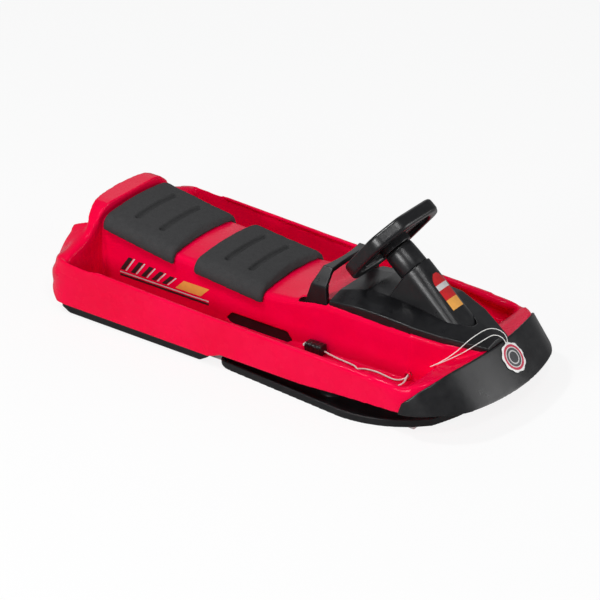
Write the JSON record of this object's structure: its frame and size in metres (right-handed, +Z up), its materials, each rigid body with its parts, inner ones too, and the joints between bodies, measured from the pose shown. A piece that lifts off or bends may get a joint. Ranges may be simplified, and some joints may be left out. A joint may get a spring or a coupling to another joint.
{
  "type": "steering sled",
  "caption": "Red moulded plastic sled with black foam seat pads, a steering wheel that turns two front skis, a hand brake bail, a black nose bumper and a tow cord",
  "frame": {"origin": "on the ground, under the middle of the sled's length and width", "axes": "+X towards the nose, +Y to the rider's left, +Z up"},
  "size_m": [1.1886, 0.504, 0.4197],
  "materials": {
    "red_plastic": "moulded, glossy outside and finely grained inside",
    "black_plastic": "moulded, satin",
    "foam": "closed-cell foam, matte",
    "steel": "zinc plated",
    "cord": "braided white cord",
    "card": "printed card"
  },
  "bodies": {
    "hull": {"hull_shell": "red_plastic", "nose_bumper": "black_plastic", "bumper_rivets": "black_plastic", "steering_cowl": "black_plastic", "cowl_screws": "steel", "column_tower": "black_plastic", "column_bush_upper": "black_plastic", "column_bush_lower": "black_plastic", "seat_pad_rear": "foam", "seat_pad_front": "foam", "rear_runner_left": "black_plastic", "rear_runner_right": "black_plastic", "runner_screws": "steel", "kingpin_bush_left": "black_plastic", "kingpin_bush_right": "black_plastic", "brake_pivot_blocks": "black_plastic", "brake_window_covers": "black_plastic", "rocker_bridge": "steel", "bridge_screws": "steel", "rocker_pin": "steel", "rope_eyelet": "black_plastic", "tow_cord_one": "cord", "tow_cord_two": "cord", "tow_grip": "black_plastic", "tow_knot": "cord", "hang_tag": "card", "tag_string": "cord"},
    "steering": {"steering_wheel": "black_plastic", "wheel_cap": "black_plastic", "wheel_sleeve": "black_plastic", "steering_shaft": "steel", "wheel_pin": "steel", "crank_arm": "steel", "crank_ball": "steel"},
    "rocker": {"steering_rocker": "steel", "rocker_drive_pin": "steel"},
    "tie_rod": {"tie_rod": "steel", "tie_rod_pins": "steel"},
    "ski_left": {"front_ski_left": "black_plastic", "kingpin_left": "steel", "steering_arm_left": "steel", "kingpin_nut_left": "black_plastic"},
    "ski_right": {"front_ski_right": "black_plastic", "kingpin_right": "steel", "steering_arm_right": "steel", "kingpin_nut_right": "black_plastic"},
    "brake": {"brake_bail": "black_plastic", "brake_shaft": "steel", "brake_arm_left": "black_plastic", "brake_arm_right": "black_plastic", "brake_claw_left": "steel", "brake_claw_right": "steel", "brake_rivets": "steel", "brake_collars": "steel"}
  },
  "joints": [
    {"name": "steer", "type": "hinge", "parent": "hull", "child": "steering", "pos_m": [0.233, 0, 0.323], "axis": [-0.7771, 0, 0.6293], "range_deg": [-40, 40]},
    {"name": "rock", "type": "hinge", "parent": "hull", "child": "rocker", "pos_m": [0.37058, 0, 0.05], "axis": [0, 0, 1], "range_deg": [-20, 20]},
    {"name": "tie", "type": "slide", "parent": "hull", "child": "tie_rod", "axis": [0, 1, 0], "range_m": [-0.0205, 0.0205]},
    {"name": "ski_turn_left", "type": "hinge", "parent": "hull", "child": "ski_left", "pos_m": [0.204, 0.178, 0.04], "axis": [0, 0, 1], "range_deg": [-11, 11]},
    {"name": "ski_turn_right", "type": "hinge", "parent": "hull", "child": "ski_right", "pos_m": [0.204, -0.178, 0.04], "axis": [0, 0, 1], "range_deg": [-11, 11]},
    {"name": "brake_pull", "type": "hinge", "parent": "hull", "child": "brake", "pos_m": [0.1, 0, 0.118], "axis": [0, -1, 0], "range_deg": [0, 12], "stiffness_Nm_per_rad": 3, "springref_deg": -17.19}
  ],
  "couplings": [
    {"joint": "rock", "follows": "steer", "ratio": -0.49},
    {"joint": "tie", "follows": "steer", "m_per_rad": 0.0289},
    {"joint": "ski_turn_left", "follows": "steer", "ratio": 0.267},
    {"joint": "ski_turn_right", "follows": "steer", "ratio": 0.267}
  ]
}
